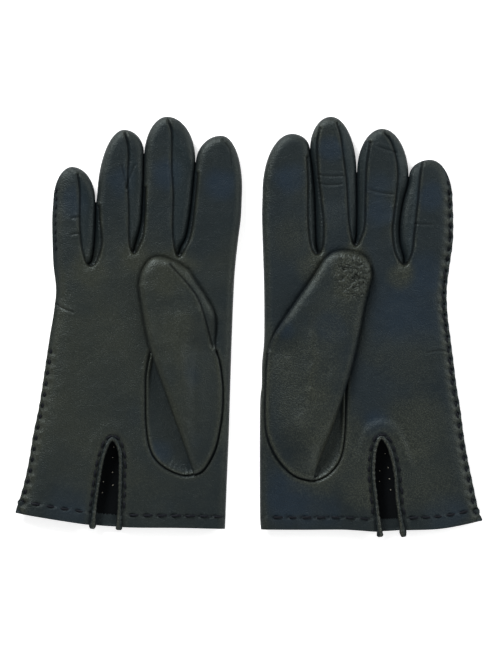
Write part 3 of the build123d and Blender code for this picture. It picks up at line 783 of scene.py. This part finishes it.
# ------------------------------------------------------------------ thumbs
# The thumb is a tube of its own, sewn into the palm's hole along its inner side and lying loose and flat over
# the palm, with its seam just inside the outer edge and soft folds along it.
SEAM_WIDE = 1.0  # a fold line narrower than this is a seam
THUMB_BEND = [(22.385, 34.713, 13.65), (35.63, 39.29, 13.65)]  # where the thumb's bend zone starts and ends; no bend is made
for hand, g in gloves.items():
    seam = soft(g["thumb_seam"], 0.9)[::-1]
    low = soft(g["thumb_low"], 0.9)
    loose = np.vstack([soft(g["thumb_high"], 0.9)[:-1], soft(g["thumb_tip"], 0.8)[:-1], low])
    outline = np.vstack([loose[:-1], seam[:-1]])
    closed = np.vstack([outline, outline[:1]])
    folds = [(depth, width, soft(line, 0.9)) for depth, width, line in g["thumb_folds"]]
    near = np.vstack(edge_rows(outline, (0.1, 0.4, 0.9, 1.6, 2.5, 3.6, 4.8, 6.0)))
    near = near[inside(near, outline)]
    field = dots((-4, 26), (66, 166), 0.95)
    field = field[inside(field, outline)]
    spots = np.vstack([near, field[reach(field, closed)[0] > 6.6]])
    if g["crumple"]:
        u, v, wide, high = g["crumple"]
        fine = dots((u - wide, v - high), (u + wide, v + high), 0.5)
        spots = np.vstack([fine[reach(fine, closed)[0] > 1.0], spots])
        spots = spots[inside(spots, outline)]
    spots = thinned(spots)
    seams = [line[(reach(line, closed)[0] > 0.8) & inside(line, outline)]
             for _, width, line in folds if width < SEAM_WIDE]
    for line in seams:
        rows = [beside(line, shift)[1:-1] for shift in (-0.9, -0.45, 0.45, 0.9)]
        spots = np.vstack([spots[reach(spots, line)[0] > 1.2]] + rows)
    spots = spots[inside(spots, outline) & (reach(spots, closed)[0] > 0.08)]
    flat, faces, _ = triangles([outline], seams, spots)
    palm = palm_height(g, flat)[0]
    away = reach(flat, seam)[0]
    edge = reach(flat, closed)[0]
    rise = ease(away / 26)
    puff = (0.7 + 3.3 * rise) * dome(edge, 6.0)
    level = 9.3 + 2.3 * rise
    lumps = cloud(flat, 24, g["mirror"] * 2.2) * 0.5 + cloud(flat, 9, g["mirror"] * 4.4) * 0.16
    top = level + puff + lumps * dome(edge, 6.5) * (0.3 + 0.7 * rise)
    rubbed = 0.35 * hump(edge - 2, 1.6) + 0.15 * ease(cloud(flat, 26, g["mirror"] * 5.0) * 1.3)
    rubbed += patches(flat, g["handled"])
    for depth, width, line in folds:
        off, run = reach(flat, line)
        taper = ease(run / 8) * ease((len(line) * 0.9 - run) / 8)
        if width < SEAM_WIDE:
            beyond = np.vstack([line, line[-1:] - (12, 0), line[:1] - (24, -8)])
            outer = (reach(flat, low)[0] < 12) & inside(flat, beyond)
            top += depth * (1.3 * hump(off, width) + 0.9 * ease(off / 1.5) * outer)
            top += 0.3 * hump(off - 1.6, 0.9) * ~outer
            rubbed += 0.4 * hump(off - 1.4, 1.0) * ~outer
        else:
            top += depth * hump(off, width) * taper
            rubbed += 0.35 * hump(off, width) * taper * (depth > 0)
    gathers = hump(flat[:, 1] - 33, 13) * np.sin(reach(flat, seam)[1] * 2.9) * hump(away - 4.0, 3.4)
    top += 0.6 * hump(away - 1.3, 0.85) + 0.4 * gathers
    rubbed += 0.9 * hump(away - 1.3, 0.6) * ease((g["thumb_seam"][-1][1] - flat[:, 1]) / 8)
    if g["crumple"]:
        u, v, wide, high = g["crumple"]
        patch = ease(1.35 - np.hypot((flat[:, 0] - u) / wide, (flat[:, 1] - v) / high))
        warp = flat + 2.2 * np.column_stack([cloud(flat, 6, 5.5, 2), cloud(flat, 6, 8.5, 2)])
        cracks = hump(cloud(warp, 5.0, 3.3, 2), 0.10) + 0.6 * hump(cloud(warp, 3.0, 9.1, 2), 0.12)
        top += patch * (0.35 - 0.75 * cracks)
        rubbed += patch * (0.65 - 0.5 * cracks)
        creased = patch * cracks
    bottom = np.maximum(level - puff, palm + 0.25)
    rim = edge < 1e-4
    bottom[rim] = top[rim] = np.maximum(level, palm + 0.3)[rim]
    top = np.maximum(top, bottom + 0.05 * ~rim)
    count = len(flat)
    under = np.where(rim, np.arange(count), np.arange(count) + count)
    points = np.vstack([np.column_stack([flat, top]), np.column_stack([flat, bottom])])
    both = np.vstack([faces, under[faces[:, ::-1]]])
    ways = normals_of(points, both)
    used, both = np.unique(both, return_inverse=True)
    both = both.reshape(-1, 3)
    order = both[:, ::-1] if g["mirror"] < 0 else both
    piece = new_piece(f"{hand}_thumb_leather", in_place(g, points[used]).tolist(), order.tolist(),
                      [leather])
    # painted shade along the thumb's seam, round its edge, down its thin fold lines and in the crumple's
    # cracks
    dark = 0.8 * hump(away, 0.5) + 0.35 * hump(edge, 0.6) + (0.6 * creased if g["crumple"] else 0)
    for depth, width, line in folds:
        if width < SEAM_WIDE:
            dark += 0.95 * hump(reach(flat, line)[0], 0.55)
    keep_marks(piece.data, rubbed=np.clip(np.append(rubbed, rubbed * 0.4), 0, 1)[used],
               blue=np.clip(np.tile(patches(flat, g["bruised"]), 2), 0, 1)[used],
               grain=np.full(len(used), g["grain"]), dark=np.clip(np.tile(dark, 2), 0, 1)[used])
    piece.data.normals_split_custom_set(turned(g, ways[used])[order.ravel()].tolist())
    ends = in_place(g, np.array(THUMB_BEND))
    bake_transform(piece)
    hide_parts(f"{hand}_thumb")

# ------------------------------------------------------------------ vent bindings
# A strip of the same leather rolled over the cut edge of the palm's vent and stitched down, standing up like
# a piping, with its two ends hanging just past the hem.
binding = skin("binding_leather", (0.0040, 0.0070, 0.0085, 1), (0.0040, 0.0085, 0.0130, 1),
               (0.0300, 0.0330, 0.0260, 1), (0.080, 0.082, 0.064, 1), 0.30)
for hand, g in gloves.items():
    path = soft(g["vent"], 0.55)
    level = palm_height(g, path)[0]
    level[path[:, 1] < 1.5] = level[path[:, 1] >= 1.5][[0, -1]].mean()
    level = np.convolve(np.pad(level, 4, mode="edge"), np.ones(9) / 9, mode="valid")
    way = np.gradient(path, axis=0)
    way /= np.hypot(*way.T)[:, None]
    across = np.column_stack([way[:, 1], -way[:, 0]])
    along = np.concatenate([[0], np.cumsum(np.hypot(*np.diff(path, axis=0).T))])
    wide = 1.36 * (1 + 0.07 * np.sin(along * 1.9) + 0.05 * np.sin(along * 0.7 + 2))
    wide = wide * (1 + 0.4 * ease((13 - path[:, 1]) / 14))
    high = 1.3 * (1 + 0.06 * np.sin(along * 1.9 + 1))
    ring = 16
    turn = np.arange(ring) * 2 * math.pi / ring
    points, faces = [], []
    for k in range(len(path)):
        end = (0.55, 0.85, 0.97, 1.0)[min(k, len(path) - 1 - k, 3)]
        off = np.cos(turn)[:, None] * across[k] * wide[k] * end
        lift = np.sin(turn) * high[k] * end
        points.append(np.column_stack([path[k] + off, level[k] - 0.35 + lift]))
    points = np.vstack(points)
    for k in range(len(path) - 1):
        for m in range(ring):
            a, b = k * ring + m, k * ring + (m + 1) % ring
            faces.append((a, b, b + ring, a + ring))
    faces.append(tuple(range(ring))[::-1])
    faces.append(tuple(range(len(points) - ring, len(points))))
    if g["mirror"] > 0:
        faces = [face[::-1] for face in faces]
    piece = new_piece(f"{hand}_vent_roll", in_place(g, points).tolist(), faces, [binding])
    # painted highlight along the roll's crest, turned a little to one side, and painted shade down both its
    # sides
    keep_marks(piece.data, rubbed=np.tile(np.clip(np.sin(turn + 0.35), 0, 1) ** 6, len(path)),
               grain=np.full(len(points), g["grain"]),
               dark=np.tile(0.85 * np.clip(1.5 * abs(np.cos(turn)) - 0.6, 0, 1), len(path)))
    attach(piece, f"{hand}_glove")
    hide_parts(f"{hand}_vent_binding")

# ------------------------------------------------------------------ hand stitches
# Waxed navy thread, sewn by hand: long stitches along the hem, shorter ones round the vent and down the side
# seam, where they show on both faces, and up the little finger. Each lies in a dent, with a lean of its own.
thread = Paint("thread", {"Specular IOR Level": 0.15})
twist = thread.noise(1500.0, 2.0, 0.5)
thread.bump(twist, 0.0002, 0.8)
thread_tone = thread.mix(twist, (0.0022, 0.0030, 0.0048, 1), (0.0060, 0.0075, 0.0120, 1))
navy_thread = thread.show(thread_tone, 0.6 + 0.15 * twist)


STITCH_LIFT = 0.32  # how far a stitch's middle stands off the leather


def stitch_tree():
    """Puts one arched stitch on each point of a row, along the way kept on the point."""
    tree = bpy.data.node_groups.new("stitch_row", "GeometryNodeTree")
    face = tree.interface
    face.new_socket("Geometry", in_out="INPUT", socket_type="NodeSocketGeometry")
    for name, value in (("Length", 0.004), ("Thread", 0.0009), ("Rise", 0.0005), ("Lean", 0.15)):
        face.new_socket(name, in_out="INPUT", socket_type="NodeSocketFloat").default_value = value
    face.new_socket("Seed", in_out="INPUT", socket_type="NodeSocketInt")
    face.new_socket("Material", in_out="INPUT", socket_type="NodeSocketMaterial")
    face.new_socket("Geometry", in_out="OUTPUT", socket_type="NodeSocketGeometry")

    def add(kind, settings, inputs):
        made = tree.nodes.new(kind)
        for name, value in settings.items():
            setattr(made, name, value)
        for name, value in inputs.items():
            socket = next(s for s in made.inputs if name in (s.identifier, s.name))
            if isinstance(value, bpy.types.NodeSocket):
                tree.links.new(value, socket)
            else:
                socket.default_value = value
        return made

    given = add("NodeGroupInput", {}, {}).outputs

    def times(name, factor):
        return add("ShaderNodeMath", {"operation": "MULTIPLY"},
                   {"Value": given[name], "Value_001": factor}).outputs[0]

    dip = times("Rise", -1.0)
    first = add("ShaderNodeCombineXYZ", {}, {"X": times("Length", -0.5), "Z": dip})
    last = add("ShaderNodeCombineXYZ", {}, {"X": times("Length", 0.5), "Z": dip})
    high = add("ShaderNodeCombineXYZ", {}, {"Z": times("Rise", 1.9)})
    arch = add("GeometryNodeCurveQuadraticBezier", {}, {"Resolution": 10, "Start": first.outputs[0],
                                                        "Middle": high.outputs[0], "End": last.outputs[0]})
    ring = add("GeometryNodeCurvePrimitiveCircle", {}, {"Resolution": 10, "Radius": times("Thread", 0.5)})
    tube = add("GeometryNodeCurveToMesh", {},
               {"Curve": arch.outputs[0], "Profile Curve": ring.outputs[0], "Fill Caps": True})
    way = add("GeometryNodeInputNamedAttribute", {"data_type": "FLOAT_VECTOR"}, {"Name": "way"})
    turn = add("FunctionNodeAlignRotationToVector", {"axis": "X", "pivot_axis": "Z"},
               {"Vector": way.outputs[0]})
    lean = add("FunctionNodeRandomValue", {"data_type": "FLOAT"},
               {"Min_001": times("Lean", -1.0), "Max_001": given["Lean"], "Seed": given["Seed"]})
    tilt = add("ShaderNodeCombineXYZ", {}, {"Z": lean.outputs[1]})
    leaned = add("FunctionNodeRotateRotation", {"rotation_space": "LOCAL"},
                 {"Rotation": turn.outputs[0], "Rotate By": tilt.outputs[0]})
    size = add("FunctionNodeRandomValue", {"data_type": "FLOAT"},
               {"Min_001": 0.85, "Max_001": 1.12, "Seed": given["Seed"]})
    put = add("GeometryNodeInstanceOnPoints", {},
              {"Points": given["Geometry"], "Instance": tube.outputs[0], "Rotation": leaned.outputs[0],
               "Scale": size.outputs[1]})
    real = add("GeometryNodeRealizeInstances", {}, {"Geometry": put.outputs[0]})
    dyed = add("GeometryNodeSetMaterial", {}, {"Geometry": real.outputs[0], "Material": given["Material"]})
    smooth = add("GeometryNodeSetShadeSmooth", {}, {"Geometry": dyed.outputs[0]})
    add("NodeGroupOutput", {}, {"Geometry": smooth.outputs[0]})
    return tree


row_tree = stitch_tree()
row_inputs = {s.name: s.identifier for s in row_tree.interface.items_tree if s.in_out == "INPUT"}


def sewn(name, g, rows, pitch, sizes, seed):
    """One object with the stitches of some rows: each a line and its face, 1 the palm side, -1 the back."""
    spots, ways = [], []
    for line, face in rows:
        line = even(line, pitch)
        middles = (line[1:] + line[:-1]) / 2
        run = np.diff(line, axis=0)
        run /= np.hypot(*run.T)[:, None]
        heights = palm_height(g, middles)
        level = heights[0] + STITCH_LIFT if face > 0 else heights[1] - STITCH_LIFT
        spots.append(in_place(g, np.column_stack([middles, level])))
        ways.append(turned(g, np.column_stack([run, np.zeros(len(run))])))
    points = new_piece(name + "_points", np.vstack(spots).tolist(), [], [])
    mark = points.data.attributes.new("way", "FLOAT_VECTOR", "POINT")
    mark.data.foreach_set("vector", np.vstack(ways).astype(np.float32).ravel())
    modifier = points.modifiers.new("stitches", "NODES")
    modifier.node_group = row_tree
    for key, value in {**sizes, "Seed": seed, "Material": navy_thread}.items():
        modifier[row_inputs[key]] = value
    bpy.context.view_layer.update()
    made = bpy.data.meshes.new_from_object(points.evaluated_get(bpy.context.evaluated_depsgraph_get()))
    made.name = name
    bpy.data.objects.remove(points)
    piece = bpy.data.objects.new(name, made)
    bpy.context.scene.collection.objects.link(piece)
    return piece


for seed, (hand, g) in enumerate(gloves.items()):
    hem_row, vent = g["row_line"], g["vent_line"]
    clear = (reach(hem_row, vent)[0] > 3.6) & ~inside(hem_row, vent)
    left = hem_row[clear & (hem_row[:, 0] < vent[:, 0].mean()) & (hem_row[:, 0] > 3.5)]
    right = hem_row[clear & (hem_row[:, 0] > vent[:, 0].mean()) & (hem_row[:, 0] < 119)]
    piece = sewn(f"{hand}_hem_thread", g, [(left, 1), (right, 1)], HEM_PITCH,
                 {"Length": 0.0044, "Thread": 0.0013, "Rise": 0.00045, "Lean": 0.10}, 11 + seed)
    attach(piece, f"{hand}_glove")
    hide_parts(f"{hand}_hem_stitches")
    seam = g["seam_in"]
    low, high = g["side_stitches"]
    side = beside(seam, 0.1)
    side = side[(side[:, 1] > low) & (side[:, 1] < high)]
    piece = sewn(f"{hand}_side_thread", g, [(side, 1), (side, -1)], SIDE_PITCH,
                 {"Length": 0.0032, "Thread": 0.0013, "Rise": 0.0005, "Lean": 0.22}, 21 + seed)
    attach(piece, f"{hand}_glove")
    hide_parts(f"{hand}_side_stitches")
    up = beside(seam, 0.4)
    up = up[(up[:, 1] > 156) & (np.arange(len(up)) < len(up) - 14)]
    piece = sewn(f"{hand}_little_thread", g, [(up, 1), (up, -1)], LITTLE_PITCH,
                 {"Length": 0.0028, "Thread": 0.0008, "Rise": 0.0004, "Lean": 0.22}, 31 + seed)
    ends = in_place(g, np.array([(60.0, g["hinges"][-1] + end, HINGE_LEVEL) for end in BEND]))
    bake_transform(piece)
    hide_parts(f"{hand}_little_stitches")
    around = beside(vent, 2.6 if vent[0, 0] > vent[-1, 0] else -2.6)
    around = around[around[:, 1] > 9]
    piece = sewn(f"{hand}_vent_thread", g, [(around, 1)], VENT_PITCH,
                 {"Length": 0.0032, "Thread": 0.0012, "Rise": 0.0004, "Lean": 0.18}, 41 + seed)
    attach(piece, f"{hand}_glove")
    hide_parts(f"{hand}_vent_stitches")

# ------------------------------------------------------------------ pale dots at the pinholes in the vents
# Small pale dots on the inside of the back at its pinholes, within each vent: painted light, standing in for
# the light that shows through the holes.
pale = Paint("pinhole_light", {"Specular IOR Level": 0.3})
fuzz = pale.noise(2400.0, 2.0, 0.6)
pale.bump(fuzz, 0.0001, 0.6)
# a pale colour: painted light, standing in for the light through the pinholes
pinhole_light = pale.show(pale.mix(fuzz, (0.16, 0.15, 0.12, 1), (0.42, 0.40, 0.33, 1)), 0.75 + 0.1 * fuzz)
for seed, (hand, g) in enumerate(gloves.items()):
    spots = np.array(g["pinholes"])
    level = palm_height(g, spots)[1] + 1.15
    places = in_place(g, np.column_stack([spots, level]))
    chance = random.Random(51 + seed)
    points, faces = [], []
    for x, y, z in places:
        wide, tall, turn = chance.uniform(0.24, 0.36), chance.uniform(0.3, 0.5), chance.uniform(0, 3.1)
        first = len(points)
        for ring in range(1, 6):
            up = math.pi * ring / 6
            for k in range(10):
                a = 2 * math.pi * k / 10
                u, v = wide * math.sin(up) * math.cos(a), tall * math.sin(up) * math.sin(a)
                points.append((x + MM * (u * math.cos(turn) - v * math.sin(turn)),
                               y + MM * (u * math.sin(turn) + v * math.cos(turn)),
                               z + MM * 0.22 * math.cos(up)))
        for ring in range(4):
            for k in range(10):
                a, b = first + ring * 10 + k, first + ring * 10 + (k + 1) % 10
                faces.append((a, a + 10, b + 10, b))
        faces.append(tuple(range(first, first + 10)))
        faces.append(tuple(range(first + 49, first + 39, -1)))
    piece = new_piece(f"{hand}_pinhole_light_dots", points, faces, [pinhole_light])
    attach(piece, f"{hand}_glove")

# ------------------------------------------------------------------ floor, lights and camera
# A plain white table, large soft lamps above it, and a camera looking straight down with the hems at the
# bottom.
card = Paint("white_table", {"Specular IOR Level": 0.1, "Emission Color": (1, 1, 1, 1),
                             "Emission Strength": 0.6})
tone = card.noise(6.0, 2.0, 0.5)
white = card.show(card.mix(tone, (0.86, 0.86, 0.86, 1), (0.9, 0.9, 0.9, 1)), 0.9 + 0.05 * tone)
corners = [(x, y, -0.0002) for x, y in ((-4, -4), (4, -4), (4, 4), (-4, 4))]
new_piece("table_top", corners, [(0, 1, 2, 3)], [white])


def lamp(name, place, size, power, aim=(0, 0, 0)):
    """A large soft square lamp."""
    data = bpy.data.lights.new(name, "AREA")
    data.shape, data.size, data.energy = "SQUARE", size, power
    made = bpy.data.objects.new(name, data)
    made.location = place
    made.rotation_euler = (Vector(aim) - Vector(place)).to_track_quat("-Z", "Y").to_euler()
    bpy.context.scene.collection.objects.link(made)
    return made


lamp("key_lamp", (-0.9, 1.4, 1.1), 0.7, 46)
lamp("fill_lamp", (1.4, 0.5, 0.9), 0.8, 12)
lamp("front_lamp", (0.2, -1.5, 1.2), 0.8, 9)
world = bpy.data.worlds.new("studio")
world.use_nodes = True
world.node_tree.nodes["Background"].inputs["Color"].default_value = (1, 1, 1, 1)
world.node_tree.nodes["Background"].inputs["Strength"].default_value = 0.26
bpy.context.scene.world = world
bpy.context.scene.view_settings.view_transform = "Standard"

camera = bpy.data.cameras.new("camera")
camera.sensor_width = 36
camera.lens = 36 * 2.5 / 0.377
view = bpy.data.objects.new("camera", camera)
view.location = (0.0012, 0.0003, 2.5)
bpy.context.scene.collection.objects.link(view)
bpy.context.scene.camera = view
